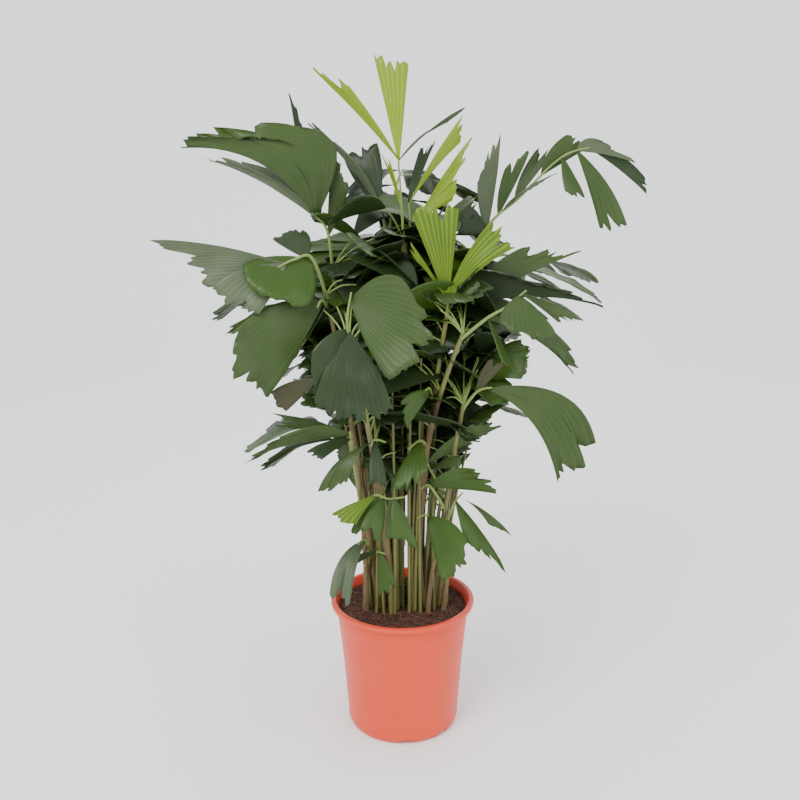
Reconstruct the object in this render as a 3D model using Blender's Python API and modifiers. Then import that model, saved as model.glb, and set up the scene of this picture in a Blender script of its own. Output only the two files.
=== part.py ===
# A clumping fishtail palm in a plastic nursery pot: pot, soil, canes and fronds, all one rigid body.
# Sizes are centimetres; the origin is the centre of the pot's flat underside, and -Y faces the viewer.
import math

import bmesh
import bpy
from mathutils import Vector

CM = 0.01
GAP = 0.03                    # clearance between touching pieces
ROUND = 28                    # facets round the pot and the soil

POT_TOP = 22.5
RIM_R = 12.0
RIM_TALL = 0.8
MOUTH_R = 11.15
WALL_TOP_R = 10.95
WALL_FOOT_R = 9.25
WALL_THICK = 0.25
LIP_FALL = 0.3                # the inner wall meets the lip this far below the rim band
LIP_IN = 0.45                 # and this far inside the mouth
FOOT_BEVEL = 0.8
FOOT_RIDGE_UP = 1.2
FOOT_RIDGE_OUT = 0.1
FLOOR_THICK = 1.4
NOTCHES = 8
NOTCH_TALL = 0.9
NOTCH_WIDE = 1.8
NOTCH_DEEP = 1.6
NOTCH_TAPER = 0.7             # a notch's width at its top, as a share of its width at the base
NOTCH_FIRST = -87.0           # degrees, the notch that shows at the front
SOIL_DROP = 1.2
SOIL_TOP = POT_TOP - SOIL_DROP

EYE = Vector((-0.2, -160.0, 100.0))
LEAF_THICK = 0.2
LEAF_ROOT_WIDE = 0.5
LONG_LEAF = 15.0              # leaves longer than this have an extra bend
WIDE_LEAF = 7.5               # and leaves wider than this a fold down the middle
RIB_R = 0.22
RIB_TAPER = 0.4
CANE_STEPS = 5
FOOT_FLARE = 1.12
FOOT_SLICE = 0.004            # metres of a cane's foot that are set level, the cut face
CLEAR = 0.05                  # how far a neighbour is grown before it is cut out of a later piece
SOUND_SHARE = 0.8             # a union or cut that leaves less surface than this has failed


def spot(across, up, back):
    """The point seen at (across, up) against the plane through the pot's axis, and this far behind it."""
    plane = Vector((across, 0.0, up))
    return EYE + (plane - EYE) * ((back - EYE.y) / -EYE.y)


# Canes: foot (x, y) on the soil, middle and head as seen (across, up, back), radius at foot and head.
CANES = {
    "cane_top": ((-0.6, 1.5), (0.2, 50, 2), (0.6, 82, 1.5), 0.75, 0.55),
    "cane_young_right": ((1.6, 1.0), (2.0, 50, 2.5), (2.2, 78, 3), 0.6, 0.4),
    "cane_fan": ((1.9, -2.2), (4.6, 52, -4), (7.4, 71.5, -6), 0.6, 0.35),
    "cane_upper_left": ((-2.6, 1.0), (-6.5, 52, 1), (-10.6, 78, 0), 0.7, 0.4),
    "cane_left": ((-3.9, -0.8), (-7.9, 52, -3), (-11.6, 74, -5), 0.6, 0.35),
    "cane_front": ((-1.6, -3.2), (-5.0, 50, -8), (-8.2, 66, -13), 0.6, 0.35),
    "cane_lower_left": ((-6.1, -2.0), (-6.9, 40.6, -7), (-8.2, 50, -10), 0.5, 0.3),
    "cane_right": ((3.5, -1.2), (5.8, 56, -6), (9.8, 67.5, -9), 0.6, 0.35),
    "cane_droop": ((5.3, -0.4), (7.9, 44, -3.5), (10.0, 56, -7), 0.55, 0.35),
    "cane_upper_right": ((3.7, 1.8), (7.5, 55, 5), (12.5, 78, 7), 0.65, 0.4),
    "cane_right_back": ((5.6, 1.6), (9.2, 48, 3), (10.6, 70, 1.5), 0.5, 0.3),
    "cane_back": ((-1.2, 4.2), (-1.6, 55, 6), (-2.0, 82, 7), 0.65, 0.4),
    "cane_far_left": ((-4.2, 4.2), (-6.0, 45, 10), (-8.0, 66, 13), 0.6, 0.35),
    "cane_far_right": ((2.4, 5.2), (4.0, 45, 11), (6.0, 68, 14), 0.6, 0.35),
    "cane_short_left": ((-5.4, 0.6), (-5.6, 27, -1), (-5.4, 31, -3), 0.45, 0.3),
    "cane_short_right": ((4.3, -3.0), (5.2, 28, -4), (7.3, 36.1, -6.5), 0.4, 0.25),
    "cane_low_right": ((6.9, -2.2), (7.2, 36, -2), (6.4, 42, -2), 0.45, 0.25),
}

# Fronds: the cane that carries it, its rib as seen (across, up, back), and its leaves. A leaf is the long
# corner, the short corner (both as seen), where it leaves the rib, how far back its two ends lie, its
# arch, and how far its outer edge bulges.
FRONDS = {
    "frond_top": ("cane_top", ((0.6, 81, 1.5), (0.3, 86, 1.4), (-0.2, 94.4, 1)), (
        ((-13.2, 107.8), (-7.8, 105.4), (-0.3, 94.4), 0, 0.05, 0.05),
        ((-3.8, 109.5), (1.4, 108.0), (-0.1, 94.4), 2, 0.02, 0.0),
        ((-3.1, 95.9), (-1.6, 94.6), (0.2, 87), 0, 0.1, 0.0),
        ((10.2, 102.2), (7.5, 100.2), (0.0, 94.2), 4, 0.12, 0.05),
    )),
    "frond_young_right": ("cane_young_right", ((2.2, 77, 3), (1.6, 84, 3), (1.3, 88, 3)), (
        ((9.9, 101.5), (9.3, 97.0), (1.5, 87.8), 3, 0.1, 0.05),
        ((11.0, 98.4), (7.6, 88.5), (1.7, 83.5), 1, 0.15, 0.05),
        ((5.5, 97.2), (3.2, 96.0), (1.3, 88), 7, 0.1, 0.0),
    )),
    "frond_fan": ("cane_fan", ((7.4, 70.5, -6), (7.3, 73.2, -7)), (
        ((8.9, 87.2), (1.8, 86.2), (7.2, 73), -8, 0.05, 0.2),
        ((17.8, 81.2), (14.0, 85.2), (7.4, 73), -8, 0.2, 0.15),
        ((1.1, 82.2), (1.6, 79.8), (7.2, 73), -11, 0.1, 0.0),
    )),
    "frond_upper_left": ("cane_upper_left", ((-10.6, 77, 0), (-11.2, 83.8, -1), (-13.5, 86.5, -2)), (
        ((-34.0, 96.8), (-16.6, 98.4), (-13.0, 86.0), -3, 0.35, 0.2),
        ((-16.2, 104.2), (-14.6, 100.0), (-12.4, 85.5), 1, 0.05, 0.0),
        ((-9.6, 96.2), (-7.6, 90.5), (-11.0, 83), 0, 0.08, 0.1),
        ((-30.0, 95.4), (-20.5, 93.6), (-13.0, 86), 4, 0.2, 0.1),
    )),
    "frond_back_left": ("cane_back", ((-2.0, 81, 7), (-2.6, 86, 8), (-3.6, 88, 9)), (
        ((-14.0, 100.0), (-10.0, 97.4), (-3.2, 87), 9, 0.2, 0.2),
        ((-8.6, 94.6), (-3.4, 97.0), (-3.4, 87.6), 11, 0.05, 0.1),
    )),
    "frond_left": ("cane_left", ((-11.6, 73, -5), (-13.6, 79.6, -8), (-16.5, 79.4, -10), (-19, 78.2, -11)), (
        ((-14.4, 72.4), (-23.4, 78.0), (-13.8, 80), -11, 0.12, 0.2),
        ((-39.5, 82.6), (-26.8, 78.4), (-18.2, 78.6), -10, 0.17, 0.1),
        ((-29.5, 74.9), (-22.3, 70.7), (-18.0, 78), -13, 0.15, 0.1),
        ((-19.8, 83.0), (-14.5, 84.0), (-14.5, 79.8), -5, 0.1, 0.1),
    )),
    "frond_left_hanging": ("cane_left", ((-11.6, 71, -5), (-12.2, 73, -9), (-13.0, 72, -13)), (
        ((-20.8, 57.5), (-25.4, 68.6), (-12.8, 72), -15, 0.12, 0.35),
    )),
    "frond_left_low": ("cane_front", ((-8.2, 65, -13), (-10.8, 62.6, -12), (-13.5, 60.3, -11.5)), (
        ((-21.0, 58.2), (-18.6, 55.0), (-13.4, 60.2), -12, 0.1, 0.1),
    )),
    "frond_front": ("cane_front", ((-8.2, 66, -13), (-8.4, 70, -15.5), (-7.7, 74.2, -18)), (
        ((-1.0, 60.5), (0.3, 76.3), (-7.8, 73.6), -21, 0.05, 0.4),
        ((-1.6, 55.5), (-13.5, 57.0), (-8.4, 67), -18, 0.05, 0.25),
    )),
    "frond_lower_left": ("cane_lower_left", ((-8.2, 49, -10), (-8.4, 51.6, -11)), (
        ((-21.5, 55.0), (-20.0, 52.6), (-8.6, 51.6), -9, 0.05, 0.0),
        ((-25.4, 46.1), (-20.0, 50.6), (-8.6, 51.0), -13, 0.2, 0.1),
        ((-15.8, 48.0), (-13.2, 46.6), (-8.4, 50.2), -16, 0.1, 0.0),
    )),
    "frond_centre_left": ("cane_front", ((-4.6, 49, -8), (-4.2, 50.2, -10.5), (-2.6, 49.8, -12)), (
        ((-13.4, 41.2), (-8.2, 45.1), (-4.3, 50), -14, 0.12, 0.2),
        ((-2.2, 42.0), (-5.3, 43.0), (-3.6, 49.8), -14, 0.1, 0.1),
    )),
    "frond_centre": ("cane_fan", ((4.0, 49, -3.8), (3.0, 50, -7), (1.2, 48.6, -10)), (
        ((-1.6, 41.0), (4.3, 44.6), (1.4, 48.6), -12, 0.1, 0.2),
    )),
    "frond_centre_small": ("cane_fan", ((5.2, 56, -4.5), (4.6, 58.6, -7.5), (3.9, 58.4, -9)), (
        ((1.3, 52.3), (0.0, 56.5), (3.9, 58.4), -11, 0.1, 0.1),
    )),
    "frond_right": ("cane_right", ((9.8, 66.5, -9), (13.5, 70, -11), (16.5, 71.8, -12), (19.6, 74.4, -13)), (
        ((24.6, 67.5), (15.6, 69.2), (19.0, 73.8), -16, 0.05, 0.25),
        ((28.2, 69.7), (24.8, 69.2), (19.4, 74), -12, 0.1, 0.0),
        ((18.4, 60.8), (16.2, 62.8), (13.6, 70), -15, 0.1, 0.0),
        ((28.0, 60.4), (27.2, 64.8), (13.5, 69.8), -9, 0.25, 0.1),
    )),
    "frond_right_back": ("cane_right_back", ((10.6, 69, 1.5), (11.3, 72.5, 0), (11.8, 73.6, -1)), (
        ((28.0, 80.4), (19.0, 81.2), (11.6, 73.6), 2, 0.12, 0.1),
        ((32.5, 71.8), (15.5, 77.2), (11.4, 73), -2, 0.3, 0.1),
    )),
    "frond_droop": ("cane_droop", ((10.0, 55, -7), (12.2, 58.2, -9), (14.5, 58.8, -10)), (
        ((25.6, 42.6), (31.8, 49.4), (14.3, 58.8), -12, 0.5, 0.1),
        ((16.4, 62.6), (14.0, 63.6), (12.2, 58.2), -8, 0.1, 0.0),
    )),
    "frond_upper_right": ("cane_upper_right", (
        (12.5, 77, 7), (13, 83, 6.5), (14.5, 85.6, 6), (18, 88.5, 5.5), (20.5, 91, 5), (23, 93.5, 4.5),
        (25.5, 95.2, 4), (28.5, 96, 4)), (
        ((15.3, 98.1), (12.0, 94.0), (13.2, 83.6), 8, 0.05, 0.1),
        ((8.3, 83.0), (10.3, 87.6), (13.1, 83.2), 3, 0.1, 0.1),
        ((18.4, 95.6), (16.6, 94.0), (15.5, 86.4), 6, 0.05, 0.1),
        ((23.0, 96.6), (20.6, 96.0), (18.5, 88.9), 6, 0.05, 0.0),
        ((23.2, 91.6), (21.6, 89.6), (18.6, 89.0), 2, 0.05, 0.0),
        ((28.2, 88.6), (25.2, 89.8), (24.6, 94.6), 1, 0.05, 0.2),
        ((35.0, 84.2), (30.8, 83.6), (26.5, 95.4), 2, 0.2, 0.05),
        ((38.2, 88.0), (36.6, 92.0), (28.2, 96), 5, 0.15, 0.1),
    )),
    "frond_low_right": ("cane_low_right", ((6.5, 41.4, -2), (5.0, 44.4, -3.4), (3.8, 46.8, -4.5)), (
        ((15.5, 52.8), (8.6, 51.4), (4.0, 46.6), -6, 0.1, 0.1),
        ((10.4, 47.6), (9.4, 45.4), (4.6, 45.4), -8, 0.1, 0.0),
    )),
    "frond_low_strip": ("cane_droop", ((6.6, 38, -2.6), (4.6, 42.2, -5.5), (3.2, 41.8, -8)), (
        ((15.2, 41.2), (9.0, 44.0), (4.6, 42.2), -8, 0.2, 0.1),
    )),
    "frond_base_right": ("cane_short_right", (
        (7.1, 35.4, -6.5), (8.2, 38, -8), (9.0, 39.8, -9), (10.0, 41, -10)), (
        ((16.6, 35.8), (15.4, 37.2), (9.9, 41), -10, 0.2, 0.0),
        ((19.4, 27.0), (10.6, 34.8), (9.2, 40), -12, 0.15, 0.05),
    )),
    "frond_base_centre": ("cane_low_right", ((7.0, 32, -2.1), (4.4, 36.8, -6), (2.6, 36.6, -9)), (
        ((6.4, 25.3), (9.5, 33.7), (2.9, 36.5), -12, 0.08, 0.28),
    )),
    "frond_base_left": ("cane_lower_left", (
        (-6.8, 38, -6.6), (-4.4, 40.6, -9), (-2.2, 40.0, -10.5), (0.4, 40.3, -12)), (
        ((-11.9, 37.3), (-7.7, 35.4), (-4.6, 40.4), -12, 0.1, 0.1),
        ((-3.5, 32.6), (-7.0, 34.6), (-2.5, 40), -14, 0.1, 0.1),
        ((2.0, 30.2), (-1.5, 34.5), (0.2, 40.2), -14, 0.1, 0.1),
    )),
    "frond_over_rim": ("cane_short_left", ((-5.4, 30.6, -3), (-6.2, 32.8, -6), (-7.3, 32, -9)), (
        ((-9.4, 20.4), (-12.3, 23.3), (-7.2, 32), -14, 0.5, 0.1),
    )),
    "frond_base_low": ("cane_short_left", ((-5.4, 29.6, -2.6), (-4.2, 30.6, -4.6), (-2.8, 30.2, -6)), (
        ((-3.4, 23.4), (-1.3, 25.2), (-2.9, 30.1), -7, 0.1, 0.1),
        ((-9.3, 27.0), (-8.6, 29.0), (-3.8, 30.4), -9, 0.1, 0.0),
    )),
}

# Fronds behind, which follow one rule: cane, height on it, direction in degrees from +X, reach and rise.
BACK_FRONDS = {
    "back_frond_a": ("cane_far_right", 62, 52, 20, 14),
    "back_frond_b": ("cane_far_right", 46, 68, 20, 9),
    "back_frond_c": ("cane_upper_right", 66, 42, 16, 10),
    "back_frond_d": ("cane_far_right", 67, 90, 18, 18),
    "back_frond_e": ("cane_far_left", 62, 122, 20, 13),
    "back_frond_f": ("cane_far_left", 48, 102, 20, 9),
    "back_frond_g": ("cane_upper_left", 64, 132, 15, 9),
    "back_frond_h": ("cane_far_left", 36, 128, 15, 10),
    "back_frond_i": ("cane_back", 78, 75, 12, 14),
}
BACK_LEAVES = 5
BACK_LEAF_LONG = 14.0
BACK_LEAF_WIDE = 7.0
BACK_LEAF_OPEN = 50.0         # degrees between a leaf and its rib
BACK_LEAF_DROP = 0.35
BACK_RIB_STEPS = 4
BACK_RIB_KNEE = (0.35, 1.1)   # the rib's bend, as shares of its reach and its rise
BACK_FIRST_LEAF = 0.4         # how far along the rib the first leaf grows
BACK_LEAF_ARCH = 0.2
BACK_LEAF_BULGE = 0.15


def main_collection(name):
    group = bpy.data.collections.new(name)
    bpy.context.scene.collection.children.link(group)
    return group


def finish_material(name, colour, roughness):
    material = bpy.data.materials.new(name)
    material.use_nodes = True
    surface = material.node_tree.nodes["Principled BSDF"]
    surface.inputs["Base Color"].default_value = (*colour, 1.0)
    surface.inputs["Roughness"].default_value = roughness
    material.diffuse_color = (*colour, 1.0)
    return material


def add_object(name, mesh, group, material):
    piece = bpy.data.objects.new(name, mesh)
    group.objects.link(piece)
    mesh.materials.clear()
    mesh.materials.append(material)
    return piece


def turned_mesh(name, profile):
    """A turned shape: the profile starts and ends on the axis and runs down its outer side."""
    mesh = bpy.data.meshes.new(name)
    points = [(radius * CM, 0.0, height * CM) for radius, height in profile]
    mesh.from_pydata(points, [(i, i + 1) for i in range(len(points) - 1)], [])
    blank = bpy.data.objects.new(name + "_profile", mesh)
    bpy.context.scene.collection.objects.link(blank)
    screw = blank.modifiers.new("turn", "SCREW")
    screw.steps = ROUND
    screw.render_steps = ROUND
    screw.use_merge_vertices = True
    screw.merge_threshold = 0.00005
    screw.use_smooth_shade = False
    bpy.context.view_layer.update()
    solid = bpy.data.meshes.new_from_object(blank.evaluated_get(bpy.context.evaluated_depsgraph_get()))
    bpy.data.objects.remove(blank)
    tidy_mesh(solid)
    return solid


def tidy_mesh(mesh):
    """Welds what touches, drops slivers and turns every face outwards."""
    shape = bmesh.new()
    shape.from_mesh(mesh)
    bmesh.ops.remove_doubles(shape, verts=shape.verts, dist=0.00001)
    bmesh.ops.dissolve_degenerate(shape, dist=0.00001, edges=shape.edges)
    bmesh.ops.triangulate(shape, faces=shape.faces)
    bmesh.ops.recalc_face_normals(shape, faces=shape.faces)
    shape.to_mesh(mesh)
    shape.free()


def tube_mesh(name, points, radii, sides_resolution):
    """A tapering tube along the points, closed at both ends."""
    curve = bpy.data.curves.new(name, "CURVE")
    curve.dimensions = "3D"
    curve.bevel_depth = CM
    curve.bevel_resolution = sides_resolution
    curve.use_fill_caps = True
    line = curve.splines.new("POLY")
    line.points.add(len(points) - 1)
    for point, place, radius in zip(line.points, points, radii):
        point.co = (*(place * CM), 1.0)
        point.radius = radius
    blank = bpy.data.objects.new(name + "_path", curve)
    bpy.context.scene.collection.objects.link(blank)
    bpy.context.view_layer.update()
    solid = bpy.data.meshes.new_from_object(blank.evaluated_get(bpy.context.evaluated_depsgraph_get()))
    bpy.data.objects.remove(blank)
    tidy_mesh(solid)
    return solid


def surface_area(mesh):
    return sum(face.area for face in mesh.polygons)


def combine(mesh, other, operation):
    """The union or difference of two closed meshes, by the manifold solver where the exact one fails."""
    first = bpy.data.objects.new("first", mesh)
    second = bpy.data.objects.new("second", other)
    for blank in (first, second):
        bpy.context.scene.collection.objects.link(blank)
    second.hide_render = True
    second.display_type = "WIRE"
    join = first.modifiers.new("join", "BOOLEAN")
    join.operation = operation
    join.object = second
    for solver in ("EXACT", "MANIFOLD"):
        join.solver = solver
        bpy.context.view_layer.update()
        graph = bpy.context.evaluated_depsgraph_get()
        result = bpy.data.meshes.new_from_object(first.evaluated_get(graph))
        tidy_mesh(result)
        if surface_area(result) > SOUND_SHARE * surface_area(mesh):
            break
    bpy.data.objects.remove(first)
    bpy.data.objects.remove(second)
    return result


def largest_body(mesh):
    """Keeps the body with the most faces and drops the crumbs that a cut leaves."""
    shape = bmesh.new()
    shape.from_mesh(mesh)
    unseen = set(shape.faces)
    bodies = []
    while unseen:
        front = [unseen.pop()]
        body = []
        while front:
            face = front.pop()
            body.append(face)
            for edge in face.edges:
                for neighbour in edge.link_faces:
                    if neighbour in unseen:
                        unseen.remove(neighbour)
                        front.append(neighbour)
        bodies.append(body)
    bodies.sort(key=lambda body: sum(face.calc_area() for face in body), reverse=True)
    for body in bodies[1:]:
        bmesh.ops.delete(shape, geom=body, context="FACES")
    shape.to_mesh(mesh)
    shape.free()
    return mesh


def grown(mesh, distance):
    """A copy whose surface lies this far outside the original's."""
    copy = mesh.copy()
    shape = bmesh.new()
    shape.from_mesh(copy)
    shape.normal_update()
    for vertex in shape.verts:
        vertex.co += vertex.normal * distance * CM * max(1.0, min(vertex.calc_shell_factor(), 2.0))
    shape.to_mesh(copy)
    shape.free()
    return copy


def box_of(mesh):
    low = Vector([min(v.co[i] for v in mesh.vertices) for i in range(3)])
    high = Vector([max(v.co[i] for v in mesh.vertices) for i in range(3)])
    return low, high


def boxes_meet(first, second):
    (low_a, high_a), (low_b, high_b) = first, second
    return all(low_a[i] < high_b[i] and low_b[i] < high_a[i] for i in range(3))


def curve_point(start, knee, end, along):
    return start * (1 - along) ** 2 + knee * 2 * along * (1 - along) + end * along ** 2


def nearest_on(points, target):
    """The point of a chain of straight runs that lies nearest the target."""
    best = None
    for start, end in zip(points, points[1:]):
        run = end - start
        along = max(0.0, min(1.0, (target - start).dot(run) / run.length_squared))
        place = start + run * along
        if best is None or (place - target).length < (best - target).length:
            best = place
    return best


def leaf_mesh(name, root, tip, heel, arch, bulge):
    """A thin fishtail blade: narrow at its root, widening to an outer edge from heel to tip."""
    chord = tip - heel
    outward = (tip + heel) / 2 - root
    reach = outward.length
    side = chord.normalized()
    outward.normalize()
    rows = 3 if reach > LONG_LEAF else 2
    columns = 2 if chord.length > WIDE_LEAF else 1
    lift = Vector((0, 0, 1)) - outward * outward.z
    shape = bmesh.new()
    grid = []
    for row in range(rows + 1):
        along = row / rows
        line = []
        for column in range(columns + 1):
            across = column / columns
            end = heel.lerp(tip, across) + outward * bulge * chord.length * 4 * across * (1 - across)
            start = root + side * LEAF_ROOT_WIDE * (across - 0.5)
            knee = (start + end) / 2 + lift * arch * reach
            line.append(shape.verts.new(curve_point(start, knee, end, along) * CM))
        grid.append(line)
    for lower, upper in zip(grid, grid[1:]):
        for i in range(columns):
            shape.faces.new((lower[i], lower[i + 1], upper[i + 1], upper[i]))
    mesh = bpy.data.meshes.new(name)
    shape.to_mesh(mesh)
    shape.free()
    blank = bpy.data.objects.new(name + "_sheet", mesh)
    bpy.context.scene.collection.objects.link(blank)
    wall = blank.modifiers.new("wall", "SOLIDIFY")
    wall.thickness = LEAF_THICK * CM
    wall.offset = 0.0
    bpy.context.view_layer.update()
    solid = bpy.data.meshes.new_from_object(blank.evaluated_get(bpy.context.evaluated_depsgraph_get()))
    bpy.data.objects.remove(blank)
    tidy_mesh(solid)
    return solid


def cane_axis(foot, middle, head):
    """Points on a smooth curve from the soil through the middle to the head."""
    start = Vector((foot[0], foot[1], SOIL_TOP + GAP))
    through = spot(*middle)
    end = spot(*head)
    share = (through - start).length / ((through - start).length + (end - through).length)
    knee = (through - start * (1 - share) ** 2 - end * share ** 2) / (2 * share * (1 - share))
    return [curve_point(start, knee, end, step / CANE_STEPS) for step in range(CANE_STEPS + 1)]


def make_pot(group, material):
    wall_top = POT_TOP - RIM_TALL
    inner_foot = WALL_FOOT_R - WALL_THICK
    mesh = turned_mesh("pot", (
        (0.0, FLOOR_THICK), (inner_foot, FLOOR_THICK), (MOUTH_R - LIP_IN, wall_top - LIP_FALL),
        (MOUTH_R, POT_TOP), (RIM_R, POT_TOP), (RIM_R, wall_top), (WALL_TOP_R, wall_top),
        (WALL_FOOT_R + FOOT_RIDGE_OUT, FOOT_RIDGE_UP), (WALL_FOOT_R - FOOT_RIDGE_OUT, FOOT_BEVEL * 0.5),
        (WALL_FOOT_R - FOOT_BEVEL, 0.0),
        (0.0, 0.0)))
    for index in range(NOTCHES):
        angle = math.radians(NOTCH_FIRST + index * 360.0 / NOTCHES)
        shape = bmesh.new()
        bmesh.ops.create_cube(shape, size=1.0)
        for vertex in shape.verts:
            vertex.co.x = vertex.co.x * 2 * NOTCH_DEEP + WALL_FOOT_R
            vertex.co.y *= NOTCH_WIDE * (1.0 if vertex.co.z < 0 else NOTCH_TAPER)
            vertex.co.z *= 2 * NOTCH_TALL
            x, y = vertex.co.x, vertex.co.y
            vertex.co.x = x * math.cos(angle) - y * math.sin(angle)
            vertex.co.y = x * math.sin(angle) + y * math.cos(angle)
            vertex.co *= CM
        cutter = bpy.data.meshes.new("notch")
        shape.to_mesh(cutter)
        shape.free()
        mesh = combine(mesh, cutter, "DIFFERENCE")
    return add_object("pot", mesh, group, material)


def make_soil(group, material):
    foot_r = WALL_FOOT_R - WALL_THICK - 2 * GAP
    share = (SOIL_TOP - FLOOR_THICK) / (POT_TOP - RIM_TALL - LIP_FALL - FLOOR_THICK)
    top_r = foot_r + (MOUTH_R - LIP_IN - WALL_FOOT_R + WALL_THICK) * share
    mesh = turned_mesh("soil", (
        (0.0, SOIL_TOP), (top_r, SOIL_TOP), (foot_r, FLOOR_THICK + GAP), (0.0, FLOOR_THICK + GAP)))
    return add_object("soil", mesh, group, material)


def back_frond_leaves(axis, height, heading, reach, rise):
    """The rib and leaves of a frond that follows the rule: paired leaves along an arching rib."""
    start = nearest_on(axis, Vector((axis[-1].x, axis[-1].y, height)))
    turn = math.radians(heading)
    away = Vector((math.cos(turn), math.sin(turn), 0.0))
    aside = Vector((-math.sin(turn), math.cos(turn), 0.0))
    end = start + away * reach + Vector((0, 0, rise))
    knee = start + away * reach * BACK_RIB_KNEE[0] + Vector((0, 0, rise * BACK_RIB_KNEE[1]))
    rib = [curve_point(start, knee, end, step / BACK_RIB_STEPS) for step in range(BACK_RIB_STEPS + 1)]
    leaves = []
    for index in range(BACK_LEAVES):
        hand = 1 if index % 2 else -1
        share = index / (BACK_LEAVES - 1)
        root = curve_point(start, knee, end, BACK_FIRST_LEAF + (1 - BACK_FIRST_LEAF) * share)
        opening = math.radians(BACK_LEAF_OPEN if index < BACK_LEAVES - 1 else 0.0)
        pointing = away * math.cos(opening) + aside * hand * math.sin(opening)
        pointing.z = -BACK_LEAF_DROP
        across = pointing.cross(Vector((0, 0, 1))).normalized()
        middle = root + pointing * BACK_LEAF_LONG
        half = across * BACK_LEAF_WIDE / 2
        leaves.append((root, middle + half + pointing, middle - half - pointing,
                       BACK_LEAF_ARCH, BACK_LEAF_BULGE))
    return rib, leaves


def build():
    for old in list(bpy.data.objects):
        bpy.data.objects.remove(old)
    group = main_collection("potted_fishtail_palm")
    plastic = finish_material("terracotta_plastic", (0.68, 0.18, 0.11), 0.45)
    earth = finish_material("potting_soil", (0.07, 0.035, 0.02), 0.95)
    cane = finish_material("cane_fibre", (0.17, 0.14, 0.06), 0.8)
    leaf = finish_material("leaf_green", (0.10, 0.22, 0.04), 0.45)

    make_pot(group, plastic)
    make_soil(group, earth)

    placed = []
    axes = {}
    for name, (foot, middle, head, foot_r, head_r) in CANES.items():
        axes[name] = cane_axis(foot, middle, head)
        steps = len(axes[name]) - 1
        radii = [foot_r + (head_r - foot_r) * i / steps for i in range(steps + 1)]
        radii[0] *= FOOT_FLARE
        mesh = tube_mesh(name, axes[name], radii, 1)
        mesh = clear_of(mesh, placed)
        level_foot(mesh)
        add_object(name, mesh, group, cane)
        placed.append((grown(mesh, CLEAR), box_of(mesh)))

    for name, (carrier, rib, leaves) in FRONDS.items():
        start = nearest_on(axes[carrier], spot(*rib[0]))
        line = [start] + [spot(*point) for point in rib[1:]]
        backs = [point[2] for point in rib]
        blades = []
        for tip, heel, root, back, arch, bulge in leaves:
            middle = sum(backs) / len(backs)
            at = nearest_on(line, spot(*root, middle))
            blades.append((at, spot(*tip, back), spot(*heel, back), arch, bulge))
        add_frond(name, line, blades, group, leaf, placed)

    for name, (carrier, height, heading, reach, rise) in BACK_FRONDS.items():
        line, blades = back_frond_leaves(axes[carrier], height, heading, reach, rise)
        add_frond(name, line, blades, group, leaf, placed)


def level_foot(mesh):
    """The cane is cut flat where it stands on the soil."""
    level = (SOIL_TOP + GAP) * CM
    for vertex in mesh.vertices:
        if vertex.co.z < level + FOOT_SLICE:
            vertex.co.z = level


def clear_of(mesh, placed):
    """Cuts the grown shape of every earlier piece out of this one, and keeps what its root holds."""
    box = box_of(mesh)
    for other, other_box in placed:
        if boxes_meet(box, other_box):
            mesh = combine(mesh, other.copy(), "DIFFERENCE")
    return largest_body(mesh)


def add_frond(name, line, blades, group, material, placed):
    radii = [RIB_R * (1.0 - RIB_TAPER * i / (len(line) - 1)) for i in range(len(line))]
    mesh = tube_mesh(name, line, radii, 0)
    for index, (at, tip, heel, arch, bulge) in enumerate(blades):
        mesh = combine(mesh, leaf_mesh(f"{name}_{index}", at, tip, heel, arch, bulge), "UNION")
    mesh = clear_of(mesh, placed)
    add_object(name, mesh, group, material)
    placed.append((grown(mesh, CLEAR), box_of(mesh)))


build()
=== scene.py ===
# A potted fishtail palm: nursery pot, potting mix, a clump of canes and their pleated fronds.
import math
import random

import bmesh
import bpy
from mathutils import Matrix, Vector, noise


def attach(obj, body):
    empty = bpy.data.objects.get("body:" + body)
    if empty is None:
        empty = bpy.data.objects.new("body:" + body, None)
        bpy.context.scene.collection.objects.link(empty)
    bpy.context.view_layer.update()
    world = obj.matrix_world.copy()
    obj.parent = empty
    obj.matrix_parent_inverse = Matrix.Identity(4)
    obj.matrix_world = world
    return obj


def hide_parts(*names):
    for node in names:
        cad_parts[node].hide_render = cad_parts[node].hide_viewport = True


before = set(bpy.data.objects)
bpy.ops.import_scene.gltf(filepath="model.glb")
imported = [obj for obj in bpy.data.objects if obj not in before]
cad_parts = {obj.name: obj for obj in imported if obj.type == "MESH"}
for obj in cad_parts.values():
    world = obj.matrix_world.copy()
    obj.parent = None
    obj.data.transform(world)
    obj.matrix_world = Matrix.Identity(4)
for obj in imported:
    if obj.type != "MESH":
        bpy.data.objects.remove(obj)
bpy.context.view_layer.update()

# Camera: a little above the crown's middle, looking down on the pot. Its height, distance and tilt are
# the ones at which the pot's rim and base show their photographed ellipses.
CM = 0.01
EYE = Vector((-0.2, -160.0, 100.0))
TILT_DOWN = math.radians(15.1)
ROLL = math.radians(-0.36)
SENSOR = 36.0
LENS = 46.53
camera_data = bpy.data.cameras.new("camera")
camera_data.sensor_width = SENSOR
camera_data.lens = LENS
camera = bpy.data.objects.new("camera", camera_data)
camera.location = EYE * CM
camera.rotation_euler = (
    Matrix.Rotation(math.radians(90) - TILT_DOWN, 4, "X") @ Matrix.Rotation(ROLL, 4, "Z")).to_euler()
bpy.context.scene.collection.objects.link(camera)
bpy.context.scene.camera = camera


# Floor and light: a pale seamless sweep under one broad key from the upper left, a fill and a back light.
FLOOR_HALF = 6.0
SWEEP_BACK = 2.6
SWEEP_R = 1.0
SWEEP_TALL = 3.5
SWEEP_STEPS = 12


def paint(name, colour, roughness):
    material = bpy.data.materials.new(name)
    material.use_nodes = True
    surface = material.node_tree.nodes["Principled BSDF"]
    surface.inputs["Base Color"].default_value = (*colour, 1.0)
    surface.inputs["Roughness"].default_value = roughness
    return material


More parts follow.
